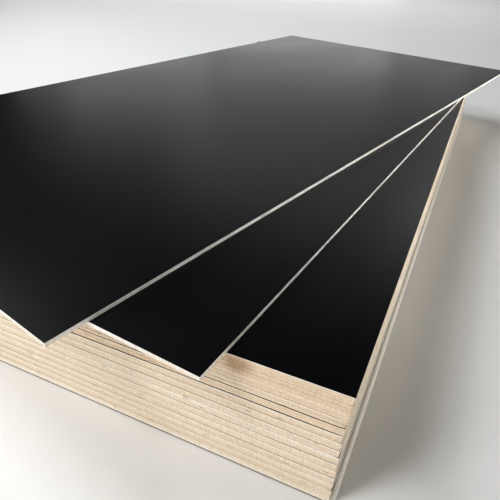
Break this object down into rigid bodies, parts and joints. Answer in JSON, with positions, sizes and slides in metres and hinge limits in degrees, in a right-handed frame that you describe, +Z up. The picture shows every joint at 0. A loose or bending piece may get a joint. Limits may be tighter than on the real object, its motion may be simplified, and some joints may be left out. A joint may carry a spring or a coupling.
{
  "type": "stack of plywood sheets",
  "caption": "Flat stack of black film-faced plywood sheets, with further sheets fanned out over its front edge.",
  "frame": {"origin": "on the floor, under the centre of the aligned stack's footprint", "axes": "+Y along the sheets' length, with the fanned end at -Y; +X to the right seen from that end; +Z up"},
  "size_m": [1.7991, 2.7227, 0.2752],
  "materials": {
    "birch_plywood": "sawn veneer edges, pale birch and cream, unsealed",
    "film_faced_plywood": "smooth black phenolic film on the face, pale sawn veneer edges"
  },
  "bodies": {
    "root": {"sheet_01": "birch_plywood", "sheet_02": "birch_plywood", "sheet_03": "birch_plywood", "sheet_04": "birch_plywood", "sheet_05": "birch_plywood", "sheet_06": "birch_plywood", "sheet_07": "birch_plywood", "sheet_08": "birch_plywood", "sheet_09": "birch_plywood", "sheet_10": "birch_plywood", "sheet_11": "birch_plywood", "sheet_12": "birch_plywood", "sheet_13": "birch_plywood", "sheet_14": "birch_plywood", "sheet_15": "birch_plywood", "sheet_16": "birch_plywood", "sheet_17": "birch_plywood", "sheet_18": "birch_plywood", "sheet_19": "birch_plywood", "sheet_20": "birch_plywood", "sheet_21": "birch_plywood", "sheet_22": "birch_plywood", "sheet_23": "birch_plywood", "sheet_24": "birch_plywood", "sheet_25": "birch_plywood", "sheet_26": "birch_plywood", "sheet_27": "birch_plywood", "sheet_28": "birch_plywood", "sheet_29": "birch_plywood", "sheet_30": "film_faced_plywood", "fanned_sheet_lower": "film_faced_plywood", "fanned_sheet_upper": "film_faced_plywood"}
  },
  "joints": []
}
